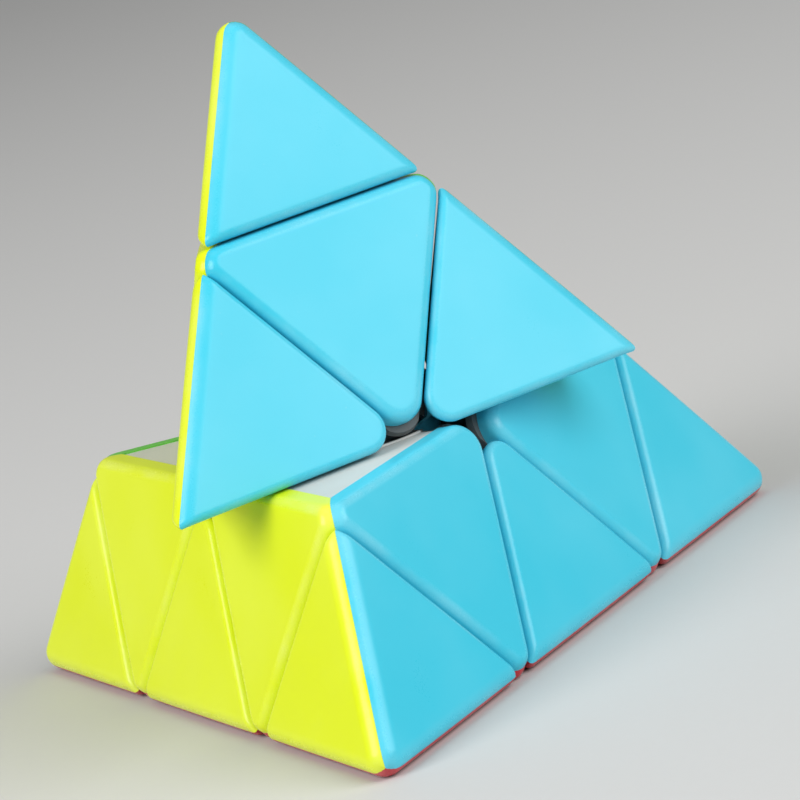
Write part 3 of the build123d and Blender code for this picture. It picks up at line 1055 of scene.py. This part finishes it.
def make_floor(stage):
    """A wide pale floor under the puzzle."""
    shape = bmesh.new()
    bmesh.ops.create_grid(shape, x_segments=2, y_segments=2, size=FLOOR_HALF)
    mesh = bpy.data.meshes.new("floor")
    shape.to_mesh(mesh)
    shape.free()
    mesh.transform(Matrix.Translation((0, 0, -FACE_DISTANCE)))
    floor = bpy.data.objects.new("floor", mesh)
    bpy.context.scene.collection.objects.link(floor)
    material = bpy.data.materials.new("Floor Paper")
    material.use_nodes = True
    tree = material.node_tree
    shader = tree.nodes["Principled BSDF"]
    place = tree.nodes.new("ShaderNodeTexCoord").outputs["Object"]
    fibres = remap(tree, noise(tree, place, scale=900.0, detail=3.0), 0.3, 0.7, 0.0, 0.04)
    paper = mix_colour(tree, fibres, (*stage.floor, 1), FLOOR_FIBRE)
    tree.links.new(paper, shader.inputs["Base Color"])
    shader.inputs["Roughness"].default_value = 0.85
    mesh.materials.append(material)


def soft_light(name, place, size, power):
    """A square area light that faces the puzzle."""
    lamp = bpy.data.lights.new(name, "AREA")
    lamp.shape = "SQUARE"
    lamp.size = size
    lamp.energy = power
    obj = bpy.data.objects.new(name, lamp)
    obj.location = place
    obj.rotation_euler = (-Vector(place)).to_track_quat("-Z", "Y").to_euler()
    bpy.context.scene.collection.objects.link(obj)


def make_lights(stage):
    """Broad softbox from the upper right, a second from the left, one overhead and a pale surround."""
    soft_light("key", (0.86, -0.48, 0.71), size=1.0, power=stage.key_power)
    soft_light("left", (-0.75, -0.62, 0.62), size=0.7, power=stage.fill_power)
    soft_light("overhead", (-0.1, 0.15, 1.2), size=0.9, power=stage.top_power)
    world = bpy.data.worlds.new("surround")
    world.use_nodes = True
    sky = world.node_tree.nodes["Background"]
    sky.inputs["Color"].default_value = WHITE
    sky.inputs["Strength"].default_value = stage.surround
    bpy.context.scene.world = world
    bpy.context.scene.view_settings.view_transform = "Standard"


def make_camera(stage):
    """Camera on the puzzle's own line of sight."""
    side, rise = stage.azimuth, stage.elevation
    back = Vector((math.sin(side) * math.cos(rise), -math.cos(side) * math.cos(rise), math.sin(rise)))
    lens = bpy.data.cameras.new("camera")
    lens.lens = stage.lens
    lens.sensor_width = SENSOR_WIDTH
    lens.clip_start, lens.clip_end = 0.01, 20.0
    camera = bpy.data.objects.new("camera", lens)
    camera.location = Vector(stage.aim) + back * stage.distance
    level = (-back).to_track_quat("-Z", "Y").to_matrix()
    camera.rotation_euler = (level @ Matrix.Rotation(-stage.roll, 3, "Z")).to_euler()
    bpy.context.scene.collection.objects.link(camera)
    bpy.context.scene.camera = camera


class PUZZLE_PT_panel(bpy.types.Panel):
    """Settings and steps of the puzzle"""

    bl_idname = "PUZZLE_PT_panel"
    bl_label = "Pyramid Puzzle"
    bl_space_type = "VIEW_3D"
    bl_region_type = "UI"
    bl_category = "Puzzle"

    def draw(self, context):
        scene = context.scene
        for label, group in (
            ("Caps", scene.puzzle_caps),
            ("Finish", scene.puzzle_finish),
            ("Studio", scene.puzzle_stage),
        ):
            box = self.layout.box()
            box.label(text=label)
            for name in group.__annotations__:
                box.prop(group, name)
        for step in STEPS:
            self.layout.operator(step.bl_idname)


STEPS = (
    PUZZLE_OT_tip_caps,
    PUZZLE_OT_centre_caps,
    PUZZLE_OT_edge_caps,
    PUZZLE_OT_inner_bases,
    PUZZLE_OT_core_parts,
    PUZZLE_OT_studio,
)
CLASSES = (PuzzleCapSizes, PuzzleFinish, PuzzleStage, *STEPS, PUZZLE_PT_panel)


def register():
    """Registers the classes and their settings."""
    for cls in CLASSES:
        bpy.utils.register_class(cls)
    bpy.types.Scene.puzzle_caps = PointerProperty(type=PuzzleCapSizes)
    bpy.types.Scene.puzzle_finish = PointerProperty(type=PuzzleFinish)
    bpy.types.Scene.puzzle_stage = PointerProperty(type=PuzzleStage)


def unregister():
    """Takes the settings and classes away again."""
    del bpy.types.Scene.puzzle_stage
    del bpy.types.Scene.puzzle_finish
    del bpy.types.Scene.puzzle_caps
    for cls in reversed(CLASSES):
        bpy.utils.unregister_class(cls)


def main():
    """Builds everything in order."""
    register()
    for step in STEPS:
        group, name = step.bl_idname.split(".")
        getattr(getattr(bpy.ops, group), name)()


if __name__ == "__main__":
    main()
